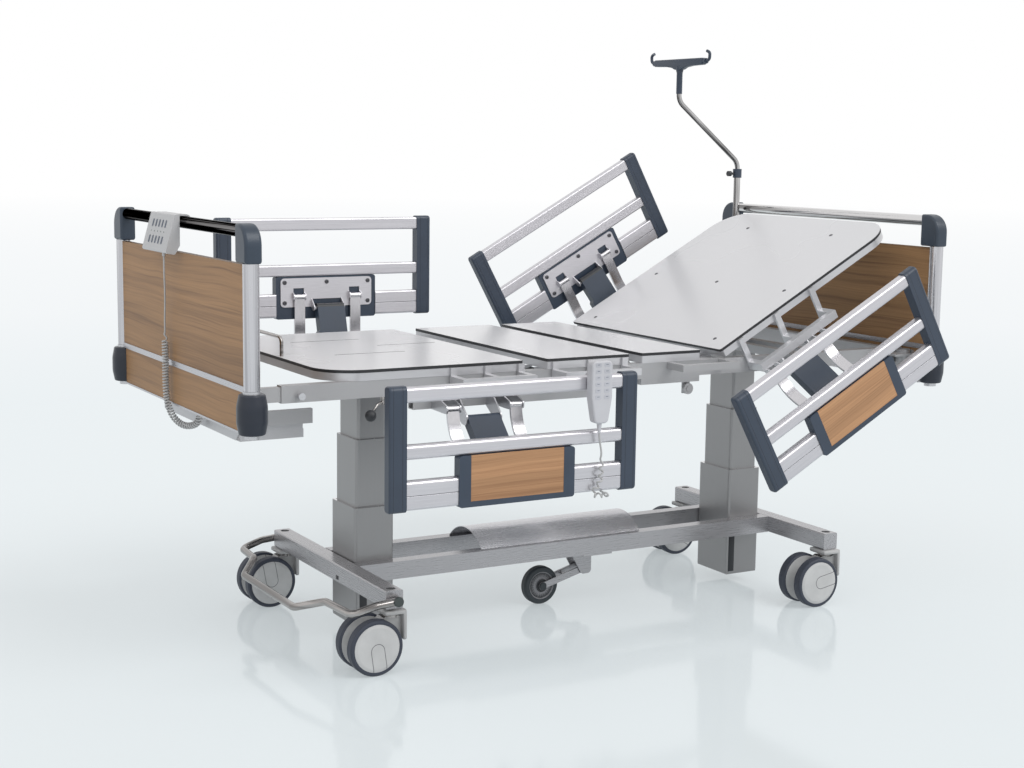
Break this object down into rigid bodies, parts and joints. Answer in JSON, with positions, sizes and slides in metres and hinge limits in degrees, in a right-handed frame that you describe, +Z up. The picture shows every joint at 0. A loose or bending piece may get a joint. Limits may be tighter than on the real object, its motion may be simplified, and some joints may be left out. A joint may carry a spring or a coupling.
{
  "type": "electric hospital bed",
  "caption": "Height-adjustable electric ward bed with sectioned platform, swing-down side rails, lift-off end boards, infusion pole and swivel castors",
  "frame": {"origin": "on the floor, midway between the two end boards and on the bed's centre line", "axes": "+X towards the head end, along the bed's length; +Y towards the side of the infusion pole; +Z up"},
  "size_m": [2.2587, 1.2935, 1.6907],
  "materials": {
    "frame_steel": "satin silver-grey powder coat",
    "base_steel": "brushed",
    "dark_plastic": "fine textured dark navy-grey",
    "light_plastic": "satin light grey",
    "navy_tyre": "matte",
    "wheel_disc": "satin light grey",
    "satin_aluminium": "satin anodised",
    "chrome": "polished",
    "oak_laminate": "horizontal-grain laminate",
    "grey_laminate": "pale grey laminate with black core",
    "cord_rubber": "matte"
  },
  "bodies": {
    "base": {"base_frame": "base_steel", "column_outer_tubes": "base_steel", "base_cover": "light_plastic"},
    "middle_tubes": {"column_middle_tubes": "base_steel"},
    "upper": {"upper_frame": "frame_steel", "column_inner_tubes": "base_steel", "seat_board": "grey_laminate", "backrest_drive": "dark_plastic", "head_end_panel": "oak_laminate"},
    "steer_arm": {"fifth_wheel_arm": "base_steel"},
    "steer_wheel": {"fifth_wheel": "dark_plastic"},
    "pedal": {"brake_pedal_bar": "base_steel"},
    "lever": {"release_lever": "dark_plastic"},
    "clamp_screw": {"extension_clamp_screw": "dark_plastic"},
    "carriage": {"backrest_carriage": "frame_steel"},
    "backrest": {"backrest_frame": "frame_steel", "backrest_board": "grey_laminate"},
    "thigh": {"thigh_section": "grey_laminate"},
    "leg": {"leg_section": "grey_laminate", "mattress_stop": "chrome"},
    "extension": {"foot_extension_frame": "frame_steel", "foot_end_panel": "oak_laminate", "staff_cord_lead": "cord_rubber", "staff_cord_coil": "cord_rubber"},
    "shelf": {"linen_shelf": "frame_steel"},
    "footboard": {"footboard_frame": "satin_aluminium", "footboard_panel": "oak_laminate", "staff_control_panel": "light_plastic"},
    "headboard": {"headboard_frame": "satin_aluminium", "headboard_panel": "oak_laminate"},
    "pole_lower": {"iv_pole_lower": "chrome"},
    "pole_upper": {"iv_pole_upper": "chrome"},
    "pole_clamp": {"iv_pole_clamp": "dark_plastic"},
    "fork_foot_near": {"caster_fork_foot_near": "light_plastic"},
    "wheels_foot_near": {"caster_wheels_foot_near": "wheel_disc"},
    "fork_foot_far": {"caster_fork_foot_far": "light_plastic"},
    "wheels_foot_far": {"caster_wheels_foot_far": "wheel_disc"},
    "fork_head_near": {"caster_fork_head_near": "light_plastic"},
    "wheels_head_near": {"caster_wheels_head_near": "wheel_disc"},
    "fork_head_far": {"caster_fork_head_far": "light_plastic"},
    "wheels_head_far": {"caster_wheels_head_far": "wheel_disc"},
    "rail_foot_near": {"rail_foot_near_frame": "satin_aluminium", "rail_foot_near_panel": "oak_laminate", "handset": "light_plastic", "handset_cord_lead": "cord_rubber", "handset_cord_coil": "cord_rubber"},
    "arms_foot_near": {"rail_foot_near_arms": "satin_aluminium"},
    "link_foot_near": {"rail_foot_near_link": "dark_plastic"},
    "rail_foot_far": {"rail_foot_far_frame": "satin_aluminium", "rail_foot_far_panel": "oak_laminate"},
    "arms_foot_far": {"rail_foot_far_arms": "satin_aluminium"},
    "link_foot_far": {"rail_foot_far_link": "dark_plastic"},
    "rail_head_near": {"rail_head_near_frame": "satin_aluminium", "rail_head_near_panel": "oak_laminate"},
    "arms_head_near": {"rail_head_near_arms": "satin_aluminium"},
    "link_head_near": {"rail_head_near_link": "dark_plastic"},
    "rail_head_far": {"rail_head_far_frame": "satin_aluminium", "rail_head_far_panel": "oak_laminate"},
    "arms_head_far": {"rail_head_far_arms": "satin_aluminium"},
    "link_head_far": {"rail_head_far_link": "dark_plastic"}
  },
  "joints": [
    {"name": "height", "type": "slide", "parent": "base", "child": "upper", "axis": [0, 0, 1], "range_m": [-0.36, 0]},
    {"name": "middle_stage", "type": "slide", "parent": "base", "child": "middle_tubes", "axis": [0, 0, 1], "range_m": [-0.18, 0]},
    {"name": "backrest_angle", "type": "hinge", "parent": "carriage", "child": "backrest", "pos_m": [0.393, 0, 0.76], "axis": [0, -1, 0], "range_deg": [-29, 41]},
    {"name": "backrest_shift", "type": "slide", "parent": "upper", "child": "carriage", "axis": [1, 0, 0], "range_m": [-0.0645, 0.0912]},
    {"name": "thigh_angle", "type": "hinge", "parent": "upper", "child": "thigh", "pos_m": [0.086, 0, 0.772], "axis": [0, 1, 0], "range_deg": [0, 38]},
    {"name": "knee", "type": "hinge", "parent": "thigh", "child": "leg", "pos_m": [-0.236, 0, 0.772], "axis": [0, 1, 0], "range_deg": [-57.2, 0]},
    {"name": "bed_extension", "type": "slide", "parent": "upper", "child": "extension", "axis": [-1, 0, 0], "range_m": [-0.1, 0.08]},
    {"name": "shelf_pull", "type": "slide", "parent": "extension", "child": "shelf", "axis": [-1, 0, 0], "range_m": [0, 0.25], "deforming": ["staff_cord_coil"]},
    {"name": "clamp_turn", "type": "hinge", "parent": "upper", "child": "clamp_screw", "pos_m": [-0.918, -0.4, 0.752], "axis": [0, -1, 0], "range_deg": [-180, 180]},
    {"name": "lever_turn", "type": "hinge", "parent": "upper", "child": "lever", "pos_m": [-0.676, -0.387, 0.724], "axis": [0, 0, 1], "range_deg": [-20, 20]},
    {"name": "footboard_lift", "type": "slide", "parent": "extension", "child": "footboard", "axis": [0, 0, 1], "range_m": [0, 0.088]},
    {"name": "headboard_lift", "type": "slide", "parent": "upper", "child": "headboard", "axis": [0, 0, 1], "range_m": [0, 0.088]},
    {"name": "pole_turn", "type": "hinge", "parent": "upper", "child": "pole_lower", "pos_m": [1.045, 0.43, 0.776], "axis": [0, 0, 1], "continuous": true},
    {"name": "pole_slide", "type": "slide", "parent": "pole_lower", "child": "pole_upper", "axis": [0, 0, 1], "range_m": [0, 0.3]},
    {"name": "pole_clamp_turn", "type": "hinge", "parent": "pole_lower", "child": "pole_clamp", "pos_m": [1.025, 0.43, 1.286], "axis": [1, 0, 0], "range_deg": [-180, 180]},
    {"name": "pedal_press", "type": "hinge", "parent": "base", "child": "pedal", "pos_m": [-0.648, 0, 0.192], "axis": [0, 1, 0], "range_deg": [-8, 8]},
    {"name": "steer_arm_lift", "type": "hinge", "parent": "base", "child": "steer_arm", "pos_m": [0.172, 0, 0.098], "axis": [0, 1, 0], "range_deg": [0, 15]},
    {"name": "steer_wheel_spin", "type": "hinge", "parent": "steer_arm", "child": "steer_wheel", "pos_m": [0.02528, 0, 0.0583], "axis": [0, 1, 0], "continuous": true},
    {"name": "swivel_foot_near", "type": "hinge", "parent": "base", "child": "fork_foot_near", "pos_m": [-0.648, -0.37, 0.16], "axis": [0, 0, 1], "continuous": true},
    {"name": "spin_foot_near", "type": "hinge", "parent": "fork_foot_near", "child": "wheels_foot_near", "pos_m": [-0.71, -0.37, 0.075], "axis": [0, 1, 0], "continuous": true},
    {"name": "swivel_foot_far", "type": "hinge", "parent": "base", "child": "fork_foot_far", "pos_m": [-0.648, 0.37, 0.16], "axis": [0, 0, 1], "continuous": true},
    {"name": "spin_foot_far", "type": "hinge", "parent": "fork_foot_far", "child": "wheels_foot_far", "pos_m": [-0.71, 0.37, 0.075], "axis": [0, 1, 0], "continuous": true},
    {"name": "swivel_head_near", "type": "hinge", "parent": "base", "child": "fork_head_near", "pos_m": [0.821, -0.37, 0.16], "axis": [0, 0, 1], "continuous": true},
    {"name": "spin_head_near", "type": "hinge", "parent": "fork_head_near", "child": "wheels_head_near", "pos_m": [0.759, -0.37, 0.075], "axis": [0, 1, 0], "continuous": true},
    {"name": "swivel_head_far", "type": "hinge", "parent": "base", "child": "fork_head_far", "pos_m": [0.821, 0.37, 0.16], "axis": [0, 0, 1], "continuous": true},
    {"name": "spin_head_far", "type": "hinge", "parent": "fork_head_far", "child": "wheels_head_far", "pos_m": [0.759, 0.37, 0.075], "axis": [0, 1, 0], "continuous": true},
    {"name": "rail_foot_near_swing", "type": "hinge", "parent": "upper", "child": "arms_foot_near", "pos_m": [-0.435, -0.483, 0.704], "axis": [1, 0, 0], "range_deg": [-120, 0]},
    {"name": "rail_foot_near_level", "type": "hinge", "parent": "arms_foot_near", "child": "rail_foot_near", "pos_m": [-0.435, -0.62801, 0.55488], "axis": [1, 0, 0], "range_deg": [0, 120]},
    {"name": "rail_foot_near_link_swing", "type": "hinge", "parent": "upper", "child": "link_foot_near", "pos_m": [-0.435, -0.473, 0.669], "axis": [1, 0, 0], "range_deg": [-120, 0]},
    {"name": "rail_foot_far_swing", "type": "hinge", "parent": "upper", "child": "arms_foot_far", "pos_m": [-0.435, 0.483, 0.704], "axis": [-1, 0, 0], "range_deg": [0, 120]},
    {"name": "rail_foot_far_level", "type": "hinge", "parent": "arms_foot_far", "child": "rail_foot_far", "pos_m": [-0.435, 0.53963, 0.90414], "axis": [-1, 0, 0], "range_deg": [-120, 0]},
    {"name": "rail_foot_far_link_swing", "type": "hinge", "parent": "upper", "child": "link_foot_far", "pos_m": [-0.435, 0.473, 0.669], "axis": [-1, 0, 0], "range_deg": [0, 120]},
    {"name": "rail_head_near_swing", "type": "hinge", "parent": "backrest", "child": "arms_head_near", "pos_m": [0.59861, -0.483, 0.79336], "axis": [0.8746, 0, 0.4848], "range_deg": [-120, 0]},
    {"name": "rail_head_near_level", "type": "hinge", "parent": "arms_head_near", "child": "rail_head_near", "pos_m": [0.6709, -0.62801, 0.66294], "axis": [0.8746, 0, 0.4848], "range_deg": [0, 120]},
    {"name": "rail_head_near_link_swing", "type": "hinge", "parent": "backrest", "child": "link_head_near", "pos_m": [0.61557, -0.473, 0.76275], "axis": [0.8746, 0, 0.4848], "range_deg": [-120, 0]},
    {"name": "rail_head_far_swing", "type": "hinge", "parent": "backrest", "child": "arms_head_far", "pos_m": [0.59861, 0.483, 0.79336], "axis": [-0.8746, 0, -0.4848], "range_deg": [0, 120]},
    {"name": "rail_head_far_level", "type": "hinge", "parent": "arms_head_far", "child": "rail_head_far", "pos_m": [0.50157, 0.53963, 0.96841], "axis": [-0.8746, 0, -0.4848], "range_deg": [-120, 0]},
    {"name": "rail_head_far_link_swing", "type": "hinge", "parent": "backrest", "child": "link_head_far", "pos_m": [0.61557, 0.473, 0.76275], "axis": [-0.8746, 0, -0.4848], "range_deg": [0, 120]}
  ],
  "couplings": [
    {"joint": "middle_stage", "follows": "height", "ratio": 0.5},
    {"joint": "backrest_shift", "follows": "backrest_angle", "m_per_rad": 0.127},
    {"joint": "knee", "follows": "thigh_angle", "ratio": -1.5},
    {"joint": "rail_foot_near_level", "follows": "rail_foot_near_swing", "ratio": -1},
    {"joint": "rail_foot_near_link_swing", "follows": "rail_foot_near_swing", "ratio": 1},
    {"joint": "rail_foot_far_level", "follows": "rail_foot_far_swing", "ratio": -1},
    {"joint": "rail_foot_far_link_swing", "follows": "rail_foot_far_swing", "ratio": 1},
    {"joint": "rail_head_near_level", "follows": "rail_head_near_swing", "ratio": -1},
    {"joint": "rail_head_near_link_swing", "follows": "rail_head_near_swing", "ratio": 1},
    {"joint": "rail_head_far_level", "follows": "rail_head_far_swing", "ratio": -1},
    {"joint": "rail_head_far_link_swing", "follows": "rail_head_far_swing", "ratio": 1}
  ]
}
